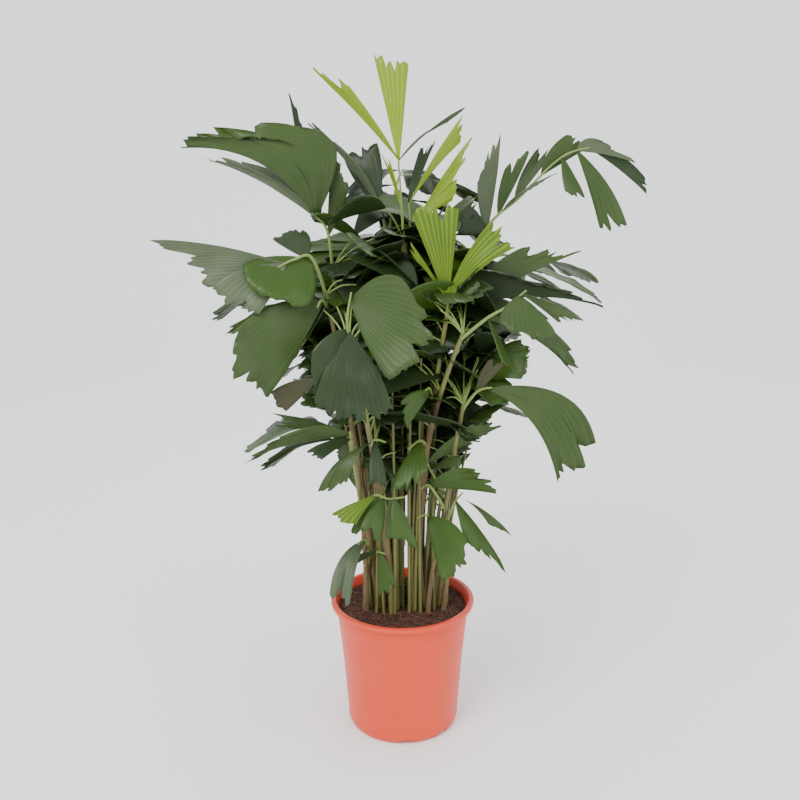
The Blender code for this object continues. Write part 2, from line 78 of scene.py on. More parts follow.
def link_piece(name, mesh):
    piece = bpy.data.objects.new(name, mesh)
    bpy.context.scene.collection.objects.link(piece)
    return piece


sweep_line = [(-FLOOR_HALF, 0.0), (SWEEP_BACK, 0.0)]
for step in range(1, SWEEP_STEPS + 1):
    turn = math.radians(90) * step / SWEEP_STEPS
    sweep_line.append((SWEEP_BACK + SWEEP_R * math.sin(turn), SWEEP_R * (1 - math.cos(turn))))
sweep_line.append((SWEEP_BACK + SWEEP_R, SWEEP_TALL))
sweep_mesh = bpy.data.meshes.new("floor")
sweep_points = [(side * FLOOR_HALF, y, z) for y, z in sweep_line for side in (-1, 1)]
sweep_faces = [(2 * i, 2 * i + 1, 2 * i + 3, 2 * i + 2) for i in range(len(sweep_line) - 1)]
sweep_mesh.from_pydata(sweep_points, [], sweep_faces)
sweep_mesh.shade_smooth()
floor = link_piece("floor", sweep_mesh)
floor.data.materials.append(paint("pale_floor", (0.93, 0.93, 0.92), 0.9))

world = bpy.data.worlds.new("studio")
world.use_nodes = True
world.node_tree.nodes["Background"].inputs["Color"].default_value = (0.95, 0.97, 1.0, 1.0)
world.node_tree.nodes["Background"].inputs["Strength"].default_value = 1.5
bpy.context.scene.world = world


def soft_light(name, place, power, size):
    light_data = bpy.data.lights.new(name, "AREA")
    light_data.energy = power
    light_data.size = size
    light = bpy.data.objects.new(name, light_data)
    light.location = place
    light.rotation_euler = (Vector((0, 0, 0.55)) - Vector(place)).to_track_quat("-Z", "Y").to_euler()
    bpy.context.scene.collection.objects.link(light)


soft_light("key_light", (-1.3, -2.0, 2.6), 75, 1.5)
soft_light("fill_light", (2.2, -1.8, 1.4), 20, 1.8)
soft_light("back_light", (0.4, 2.2, 2.4), 22, 1.6)


# Shared surface effect: soft mottling, a large slow change of colour with fine grain over it.
def mottle_group():
    group = bpy.data.node_groups.new("mottle", "ShaderNodeTree")
    group.interface.new_socket("Scale", in_out="INPUT", socket_type="NodeSocketFloat")
    group.interface.new_socket("Dark", in_out="INPUT", socket_type="NodeSocketColor")
    group.interface.new_socket("Light", in_out="INPUT", socket_type="NodeSocketColor")
    group.interface.new_socket("Color", in_out="OUTPUT", socket_type="NodeSocketColor")
    group.interface.new_socket("Height", in_out="OUTPUT", socket_type="NodeSocketFloat")
    nodes, links = group.nodes, group.links
    ends = nodes.new("NodeGroupInput"), nodes.new("NodeGroupOutput")
    place = nodes.new("ShaderNodeTexCoord")
    broad = nodes.new("ShaderNodeTexNoise")
    fine = nodes.new("ShaderNodeTexNoise")
    more = nodes.new("ShaderNodeMath")
    more.operation = "MULTIPLY"
    more.inputs[1].default_value = 9.0
    mix = nodes.new("ShaderNodeMix")
    mix.data_type = "RGBA"
    broad.inputs["Detail"].default_value = 4.0
    fine.inputs["Detail"].default_value = 6.0
    links.new(ends[0].outputs["Scale"], broad.inputs["Scale"])
    links.new(ends[0].outputs["Scale"], more.inputs[0])
    links.new(more.outputs[0], fine.inputs["Scale"])
    links.new(place.outputs["Object"], broad.inputs["Vector"])
    links.new(place.outputs["Object"], fine.inputs["Vector"])
    links.new(broad.outputs["Fac"], mix.inputs["Factor"])
    links.new(ends[0].outputs["Dark"], mix.inputs["A"])
    links.new(ends[0].outputs["Light"], mix.inputs["B"])
    links.new(mix.outputs["Result"], ends[1].inputs["Color"])
    links.new(fine.outputs["Fac"], ends[1].inputs["Height"])
    return group


mottle = mottle_group()


def mottled(name, dark, light, scale, roughness, relief, relief_depth):
    """A Principled material whose colour drifts between two tones, with a fine relief."""
    material = paint(name, dark, roughness)
    nodes, links = material.node_tree.nodes, material.node_tree.links
    surface = nodes["Principled BSDF"]
    effect = nodes.new("ShaderNodeGroup")
    effect.node_tree = mottle
    effect.inputs["Scale"].default_value = scale
    effect.inputs["Dark"].default_value = (*dark, 1.0)
    effect.inputs["Light"].default_value = (*light, 1.0)
    bump = nodes.new("ShaderNodeBump")
    bump.inputs["Strength"].default_value = relief
    bump.inputs["Distance"].default_value = relief_depth
    links.new(effect.outputs["Color"], surface.inputs["Base Color"])
    links.new(effect.outputs["Height"], bump.inputs["Height"])
    links.new(bump.outputs["Normal"], surface.inputs["Normal"])
    return material


# Pot: a 24 cm injection-moulded nursery pot of terracotta-coloured plastic, with a rolled-over rim, a
# faint collar below it, a stepped foot and drain notches. Turned from its profile, then notched.
ROUND = 128
NOTCHES = 8
NOTCH_FIRST = math.radians(-87.0)
NOTCH_LIFT = 0.85
NOTCH_MIDDLE_R = 8.9
NOTCH_DEEP = 2.2
NOTCH_WIDE, NOTCH_TOP_WIDE = 2.3, 1.6
POT_PROFILE = (
    (9.0, 1.42), (9.2, 6.0), (9.78, 10.8), (10.3, 17.0), (10.66, 21.0), (10.78, 21.7), (11.02, 22.0),
    (11.12, 22.3), (11.22, 22.44), (11.4, 22.5), (11.75, 22.5), (11.92, 22.44), (12.0, 22.3),
    (12.0, 21.82), (11.96, 21.72), (11.85, 21.68), (11.05, 21.68), (10.98, 21.6), (10.95, 21.4),
    (10.9, 19.5), (10.92, 19.36), (10.86, 19.2), (10.8, 18.5), (10.4, 14.7), (10.03, 10.8), (9.75, 6.9),
    (9.47, 3.0), (9.36, 1.5), (9.38, 1.28), (9.3, 1.12), (9.22, 0.7), (9.02, 0.3), (8.7, 0.06), (8.45, 0.0))


def turned(profile, rounds):
    """Rings of one profile turned round the pot's axis, from its first point to its last."""
    shape = bmesh.new()
    rings = []
    for radius, height in profile:
        ring = []
        for index in range(rounds):
            turn = 2 * math.pi * index / rounds
            ring.append(shape.verts.new((radius * math.cos(turn), radius * math.sin(turn), height)))
        rings.append(ring)
    for lower, upper in zip(rings, rings[1:]):
        for index in range(rounds):
            after = (index + 1) % rounds
            shape.faces.new((lower[index], lower[after], upper[after], upper[index]))
    return shape, rings


def finish_mesh(shape, name, smooth_angle=40.0):
    for vertex in shape.verts:
        vertex.co *= CM
    bmesh.ops.recalc_face_normals(shape, faces=shape.faces)
    mesh = bpy.data.meshes.new(name)
    shape.to_mesh(mesh)
    shape.free()
    mesh.shade_smooth()
    mesh.set_sharp_from_angle(angle=math.radians(smooth_angle))
    return mesh


pot_shape, pot_rings = turned(POT_PROFILE, ROUND)
centre_top = pot_shape.verts.new((0, 0, POT_PROFILE[0][1]))
centre_foot = pot_shape.verts.new((0, 0, 0))
for index in range(ROUND):
    after = (index + 1) % ROUND
    pot_shape.faces.new((pot_rings[0][after], pot_rings[0][index], centre_top))
    pot_shape.faces.new((pot_rings[-1][index], pot_rings[-1][after], centre_foot))
pot = link_piece("pot_body", finish_mesh(pot_shape, "pot_body", 35.0))
cutters = bmesh.new()
for index in range(NOTCHES):
    turn = NOTCH_FIRST + index * 2 * math.pi / NOTCHES
    made = bmesh.ops.create_cube(cutters, size=1.0)["verts"]
    for vertex in made:
        x = NOTCH_MIDDLE_R + vertex.co.x * NOTCH_DEEP
        y = vertex.co.y * (NOTCH_WIDE if vertex.co.z < 0 else NOTCH_TOP_WIDE)
        z = vertex.co.z * 2 * NOTCH_LIFT
        vertex.co = Vector((
            x * math.cos(turn) - y * math.sin(turn), x * math.sin(turn) + y * math.cos(turn), z))
notch_tool = link_piece("notch_tool", finish_mesh(cutters, "notch_tool"))
notch_cut = pot.modifiers.new("notches", "BOOLEAN")
notch_cut.object = notch_tool
notch_cut.solver = "EXACT"
bpy.context.view_layer.update()
pot_mesh = bpy.data.meshes.new_from_object(pot.evaluated_get(bpy.context.evaluated_depsgraph_get()))
pot.modifiers.clear()
pot.data = pot_mesh
bpy.data.objects.remove(notch_tool)
pot_mesh.shade_smooth()
pot_mesh.set_sharp_from_angle(angle=math.radians(35.0))
pot_plastic = mottled(
    "terracotta_plastic", (0.62, 0.052, 0.018), (0.70, 0.068, 0.026), 7.0, 0.38, 0.05, 0.0004)
pot_plastic.node_tree.nodes["Principled BSDF"].inputs["Specular IOR Level"].default_value = 0.3
pot.data.materials.clear()
pot.data.materials.append(pot_plastic)
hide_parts("pot")
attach(pot, "root")


# Potting mix: dark composted bark and coir, lumpy on top, with crumbs and reddish fibres lying on it.
SOIL_TOP = 21.3
SOIL_R = 10.62
SOIL_DIP = 0.2                # how far the mix lies below the CAD's level, on average
RING_INSET = 0.02             # keeps the innermost ring open, so that a face can close it
SOIL_RINGS = 26
SOIL_ROUND = 96
SOIL_DEEP = 0.9               # the modelled layer, whose underside is never seen
SOIL_UNDER = 0.96
FIBRE_TIPS_OVER = 0.25        # radians that a fibre may lean out of the surface
chance = random.Random(41)


def soil_height(x, y):
    place = Vector((x, y, 0))
    lump = noise.noise(place * 0.5) * 0.16 + noise.noise(place * 1.7) * 0.10
    return SOIL_TOP - SOIL_DIP + lump


soil_shape, soil_rings = turned(
    [(SOIL_R * (1 - i / SOIL_RINGS) + RING_INSET, SOIL_TOP) for i in range(SOIL_RINGS + 1)], SOIL_ROUND)
for vertex in soil_shape.verts:
    vertex.co.z = soil_height(vertex.co.x, vertex.co.y) + 0.05 * noise.noise(vertex.co * 5)
soil_shape.faces.new(soil_rings[-1])
under_rings = []
for radius in (SOIL_R, SOIL_R * SOIL_UNDER):
    ring = [soil_shape.verts.new((vertex.co.x * radius / SOIL_R, vertex.co.y * radius / SOIL_R,
                                  SOIL_TOP - SOIL_DEEP)) for vertex in soil_rings[0]]
    under_rings.append(ring)
for upper, lower in zip([soil_rings[0]] + under_rings, under_rings):
    for index in range(SOIL_ROUND):
        after = (index + 1) % SOIL_ROUND
        soil_shape.faces.new((upper[index], upper[after], lower[after], lower[index]))
soil_shape.faces.new(under_rings[-1])
soil = link_piece("potting_mix", finish_mesh(soil_shape, "potting_mix", 60.0))
soil.data.materials.append(
    mottled("dark_mix", (0.014, 0.005, 0.003), (0.070, 0.024, 0.013), 60.0, 0.95, 0.9, 0.003))
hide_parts("soil")
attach(soil, "root")


def scatter_tree(name, fibrous):
    """Geometry Nodes that strew bits over a surface: bent fibres, or else round crumbs."""
    tree = bpy.data.node_groups.new(name, "GeometryNodeTree")
    tree.interface.new_socket("Geometry", in_out="INPUT", socket_type="NodeSocketGeometry")
    tree.interface.new_socket("Density", in_out="INPUT", socket_type="NodeSocketFloat")
    tree.interface.new_socket("Smallest", in_out="INPUT", socket_type="NodeSocketVector")
    tree.interface.new_socket("Largest", in_out="INPUT", socket_type="NodeSocketVector")
    tree.interface.new_socket("Thickness", in_out="INPUT", socket_type="NodeSocketFloat")
    tree.interface.new_socket("Seed", in_out="INPUT", socket_type="NodeSocketInt")
    tree.interface.new_socket("Material", in_out="INPUT", socket_type="NodeSocketMaterial")
    tree.interface.new_socket("Geometry", in_out="OUTPUT", socket_type="NodeSocketGeometry")
    nodes, links = tree.nodes, tree.links
    given, result = nodes.new("NodeGroupInput"), nodes.new("NodeGroupOutput")
    points = nodes.new("GeometryNodeDistributePointsOnFaces")
    links.new(given.outputs["Geometry"], points.inputs["Mesh"])
    links.new(given.outputs["Density"], points.inputs["Density"])
    links.new(given.outputs["Seed"], points.inputs["Seed"])
    if fibrous:
        bow = nodes.new("GeometryNodeCurveQuadraticBezier")
        bow.inputs["Resolution"].default_value = 4
        bow.inputs["Start"].default_value = (-0.5, 0.0, 0.0)
        bow.inputs["Middle"].default_value = (0.0, 0.35, 0.12)
        bow.inputs["End"].default_value = (0.5, 0.0, 0.0)
        profile = nodes.new("GeometryNodeCurvePrimitiveCircle")
        profile.inputs["Resolution"].default_value = 3
        links.new(given.outputs["Thickness"], profile.inputs["Radius"])
        solid = nodes.new("GeometryNodeCurveToMesh")
        solid.inputs["Fill Caps"].default_value = True
        links.new(bow.outputs["Curve"], solid.inputs["Curve"])
        links.new(profile.outputs["Curve"], solid.inputs["Profile Curve"])
        shape = solid.outputs["Mesh"]
    else:
        ball = nodes.new("GeometryNodeMeshIcoSphere")
        ball.inputs["Radius"].default_value = 1.0
        ball.inputs["Subdivisions"].default_value = 2
        shape = ball.outputs["Mesh"]
    turn = nodes.new("FunctionNodeRandomValue")
    turn.data_type = "FLOAT_VECTOR"
    tip_over = FIBRE_TIPS_OVER if fibrous else math.pi
    turn.inputs["Min"].default_value = (-tip_over, -tip_over, 0.0)
    turn.inputs["Max"].default_value = (tip_over, tip_over, 2 * math.pi)
    size = nodes.new("FunctionNodeRandomValue")
    size.data_type = "FLOAT_VECTOR"
    links.new(given.outputs["Smallest"], size.inputs["Min"])
    links.new(given.outputs["Largest"], size.inputs["Max"])
    strew = nodes.new("GeometryNodeInstanceOnPoints")
    join = nodes.new("GeometryNodeRealizeInstances")
    dress = nodes.new("GeometryNodeSetMaterial")
    links.new(given.outputs["Seed"], turn.inputs["Seed"])
    links.new(given.outputs["Seed"], size.inputs["Seed"])
    links.new(points.outputs["Points"], strew.inputs["Points"])
    links.new(shape, strew.inputs["Instance"])
    links.new(turn.outputs[0], strew.inputs["Rotation"])
    links.new(size.outputs[0], strew.inputs["Scale"])
    links.new(strew.outputs["Instances"], join.inputs["Geometry"])
    links.new(join.outputs["Geometry"], dress.inputs["Geometry"])
    links.new(given.outputs["Material"], dress.inputs["Material"])
    links.new(dress.outputs["Geometry"], result.inputs["Geometry"])
    return tree


def grown(name, mesh, tree, values):
    """The plain mesh that a Geometry Nodes tree makes of a mesh, with its named inputs set first."""
    piece = bpy.data.objects.new(name, mesh)
    maker = piece.modifiers.new(tree.name, "NODES")
    maker.node_group = tree
    for socket in tree.interface.items_tree:
        if socket.in_out == "INPUT" and socket.name in values:
            maker[socket.identifier] = values[socket.name]
    bpy.context.scene.collection.objects.link(piece)
    bpy.context.view_layer.update()
    made = bpy.data.meshes.new_from_object(piece.evaluated_get(bpy.context.evaluated_depsgraph_get()))
    made.name = name
    piece.modifiers.clear()
    piece.data = made
    return piece


# Strewn over the mix: bark crumbs and coir fibres, seeded on a disc a little smaller than its surface.
STREWN_R = 10.15
STREWN_LIFT = 0.06
CRUMBS_PER_M2 = 24000
FIBRES_PER_M2 = 22000
CRUMB_SMALL = (0.0008, 0.0006, 0.0005)
CRUMB_LARGE = (0.0034, 0.0024, 0.0018)
FIBRE_SHORT, FIBRE_LONG = 0.005, 0.018
FIBRE_THICK = 0.022           # as a share of the fibre's length
bed_shape, bed_rings = turned(
    [(STREWN_R * (1 - i / SOIL_RINGS) + RING_INSET, 0.0) for i in range(SOIL_RINGS + 1)], SOIL_ROUND)
for vertex in bed_shape.verts:
    vertex.co.z = soil_height(vertex.co.x, vertex.co.y) + STREWN_LIFT
bed_shape.faces.new(bed_rings[-1])
bed_mesh = finish_mesh(bed_shape, "bed")
bark = mottled("bark_crumb", (0.020, 0.009, 0.006), (0.12, 0.048, 0.028), 34.0, 0.9, 0.6, 0.001)
crumbs = grown("bark_crumbs", bed_mesh.copy(), scatter_tree("bark_scatter", False), {
    "Density": CRUMBS_PER_M2, "Smallest": CRUMB_SMALL, "Largest": CRUMB_LARGE, "Seed": 41, "Material": bark})
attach(crumbs, "root")
coir = mottled("coir", (0.17, 0.055, 0.032), (0.36, 0.15, 0.09), 90.0, 0.9, 0.3, 0.0004)
fibres = grown("coir_fibres", bed_mesh, scatter_tree("fibre_scatter", True), {
    "Density": FIBRES_PER_M2, "Smallest": (FIBRE_SHORT,) * 3, "Largest": (FIBRE_LONG,) * 3,
    "Thickness": FIBRE_THICK, "Seed": 17, "Material": coir})
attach(fibres, "root")


def tube(shape, points, radii, sides):
    """A tapering tube along the points, closed at both ends."""
    rings = []
    guide = Vector((0.3, 0.2, 0.9)).normalized()
    for index, place in enumerate(points):
        before = points[max(index - 1, 0)]
        after = points[min(index + 1, len(points) - 1)]
        way = (after - before).normalized()
        aside = way.cross(guide if abs(way.dot(guide)) < 0.95 else Vector((1, 0, 0))).normalized()
        above = aside.cross(way)
        ring = []
        for side in range(sides):
            turn = 2 * math.pi * side / sides
            out = aside * math.cos(turn) + above * math.sin(turn)
            ring.append(shape.verts.new(place + out * radii[index]))
        rings.append(ring)
    for lower, upper in zip(rings, rings[1:]):
        for side in range(sides):
            after = (side + 1) % sides
            shape.faces.new((lower[side], lower[after], upper[after], upper[side]))
    shape.faces.new(rings[0])
    shape.faces.new(rings[-1])
    return rings


# Canes: slender, leaning palm canes, thicker and ringed at the foot, wrapped by dry fibrous leaf bases
# lower down and green above. Each keeps the line of its solid in the frame.
def spot(across, up, back):
    """The point seen at (across, up) against the plane through the pot's axis, and this far behind it."""
    plane = Vector((across, 0.0, up))
    return EYE + (plane - EYE) * ((back - EYE.y) / -EYE.y)


def curve_point(start, knee, end, along):
    return start * (1 - along) ** 2 + knee * 2 * along * (1 - along) + end * along ** 2


CANES = {
    "cane_top": ((-0.6, 1.5), (0.2, 50, 2), (0.6, 82, 1.5), 0.75, 0.55),
    "cane_young_right": ((1.6, 1.0), (2.0, 50, 2.5), (2.2, 78, 3), 0.6, 0.4),
    "cane_fan": ((1.9, -2.2), (4.6, 52, -4), (7.4, 71.5, -6), 0.6, 0.35),
    "cane_upper_left": ((-2.6, 1.0), (-6.5, 52, 1), (-10.6, 78, 0), 0.7, 0.4),
    "cane_left": ((-3.9, -0.8), (-7.9, 52, -3), (-11.6, 74, -5), 0.6, 0.35),
    "cane_front": ((-1.6, -3.2), (-5.0, 50, -8), (-8.2, 66, -13), 0.6, 0.35),
    "cane_lower_left": ((-6.1, -2.0), (-6.9, 40.6, -7), (-8.2, 50, -10), 0.5, 0.3),
    "cane_right": ((3.5, -1.2), (5.8, 56, -6), (9.8, 67.5, -9), 0.6, 0.35),
    "cane_droop": ((5.3, -0.4), (7.9, 44, -3.5), (10.0, 56, -7), 0.55, 0.35),
    "cane_upper_right": ((3.7, 1.8), (7.5, 55, 5), (12.5, 78, 7), 0.65, 0.4),
    "cane_right_back": ((5.6, 1.6), (9.2, 48, 3), (10.6, 70, 1.5), 0.5, 0.3),
    "cane_back": ((-1.2, 4.2), (-1.6, 55, 6), (-2.0, 82, 7), 0.65, 0.4),
    "cane_far_left": ((-4.2, 4.2), (-6.0, 45, 10), (-8.0, 66, 13), 0.6, 0.35),
    "cane_far_right": ((2.4, 5.2), (4.0, 45, 11), (6.0, 68, 14), 0.6, 0.35),
    "cane_short_left": ((-5.4, 0.6), (-5.6, 27, -1), (-5.4, 31, -3), 0.45, 0.3),
    "cane_short_right": ((4.3, -3.0), (5.2, 28, -4), (7.3, 36.1, -6.5), 0.4, 0.25),
    "cane_low_right": ((6.9, -2.2), (7.2, 36, -2), (6.4, 42, -2), 0.45, 0.25),
}
CANE_STEPS = 60
CANE_SIDES = 12
CANE_SUNK = 0.25
CANE_BODY = 0.86              # the bare cane's radius at the foot, as a share of the solid's
FOOT_SWELL = 0.18
SWELL_FALL = 16
RING_DEEP, RINGS_ALONG = 0.03, 90
WRAP_STEPS, WRAP_SIDES = 8, 10
WRAP_OUT, WRAP_CLOSE = 1.16, 0.12
STRANDS = 14
axes = {}
green_shape = bmesh.new()
dry_shape = bmesh.new()
for name, (foot, middle, head, foot_r, head_r) in CANES.items():
    start = Vector((foot[0], foot[1], SOIL_TOP - CANE_SUNK))
    through, end = spot(*middle), spot(*head)
    share = (through - start).length / ((through - start).length + (end - through).length)
    knee = (through - start * (1 - share) ** 2 - end * share ** 2) / (2 * share * (1 - share))
    line = [curve_point(start, knee, end, step / CANE_STEPS) for step in range(CANE_STEPS + 1)]
    axes[name] = line
    sheath_top = chance.uniform(0.45, 0.75)
    radii = []
    for step in range(CANE_STEPS + 1):
        along = step / CANE_STEPS
        radius = foot_r * CANE_BODY + (head_r - foot_r * CANE_BODY) * along
        radius += FOOT_SWELL * foot_r * math.exp(-along * SWELL_FALL)
        radius *= 1 + RING_DEEP * math.sin(along * RINGS_ALONG + foot[0] * 5)
        radii.append(radius)
    tube(green_shape, line, radii, CANE_SIDES)
    ties = 5 + int(3 * chance.random())
    for index in range(ties):
        low = sheath_top * index / ties
        high = min(low + sheath_top / ties * 1.35, 0.95)
        wrap_line, wrap_radii = [], []
        for step in range(WRAP_STEPS + 1):
            along = low + (high - low) * step / WRAP_STEPS
            wrap_line.append(curve_point(start, knee, end, along))
            wrap_radii.append(radii[int(along * CANE_STEPS)] * (WRAP_OUT - WRAP_CLOSE * step / WRAP_STEPS))
        rings = tube(dry_shape, wrap_line, wrap_radii, WRAP_SIDES)
        for ring in rings:
            for vertex in ring:
                vertex.co += Vector((1, 1, 0)) * 0.05 * noise.noise(vertex.co * 1.3)
        for ring_vertex in rings[-1]:
            ring_vertex.co.z += chance.uniform(-0.5, 0.5)
    for _ in range(STRANDS):
        along = chance.uniform(0.02, sheath_top)
        turn = chance.uniform(0, 2 * math.pi)
        off = Vector((math.cos(turn), math.sin(turn), 0)) * radii[int(along * CANE_STEPS)] * 1.15
        low_end = curve_point(start, knee, end, along) + off
        rise = Vector((chance.uniform(-0.4, 0.4), chance.uniform(-0.4, 0.4), chance.uniform(1.5, 4.0)))
        high_end = curve_point(start, knee, end, min(along + 0.05, 1)) + off * 1.1
        tube(dry_shape, [low_end, (low_end + high_end) / 2 + off * 0.12, high_end + rise * 0.12],
             [0.05, 0.04, 0.015], 3)

STALKS = 60
STALK_STEPS = 20
STALK_SPREAD = 7.2
STALK_FOOT_R, STALK_THINS = 0.27, 0.11
for _ in range(STALKS):
    turn = chance.uniform(0, 2 * math.pi)
    out = STALK_SPREAD * math.sqrt(chance.random())
    foot = Vector((out * math.cos(turn), out * math.sin(turn) * 0.7 + 1, SOIL_TOP - CANE_SUNK))
    top = Vector((foot.x * chance.uniform(1.0, 2.1), foot.y * 1.4, chance.uniform(42, 66)))
    knee = (foot + top) / 2 + Vector((-foot.x * 0.15, -foot.y * 0.15, 3))
    line = [curve_point(foot, knee, top, step / STALK_STEPS) for step in range(STALK_STEPS + 1)]
    radii = [STALK_FOOT_R - STALK_THINS * step / STALK_STEPS for step in range(STALK_STEPS + 1)]
    tube(green_shape, line, radii, 8)

canes = link_piece("green_canes", finish_mesh(green_shape, "green_canes", 60.0))
canes.data.materials.append(
    mottled("cane_green", (0.040, 0.050, 0.010), (0.24, 0.24, 0.060), 16.0, 0.5, 0.35, 0.001))
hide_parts(*CANES)
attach(canes, "root")
sheaths = link_piece("dry_leaf_bases", finish_mesh(dry_shape, "dry_leaf_bases", 60.0))
dry_husk = mottled("dry_husk", (0.036, 0.018, 0.008), (0.23, 0.165, 0.070), 24.0, 0.85, 0.8, 0.0015)
sheaths.data.materials.append(dry_husk)
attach(sheaths, "root")


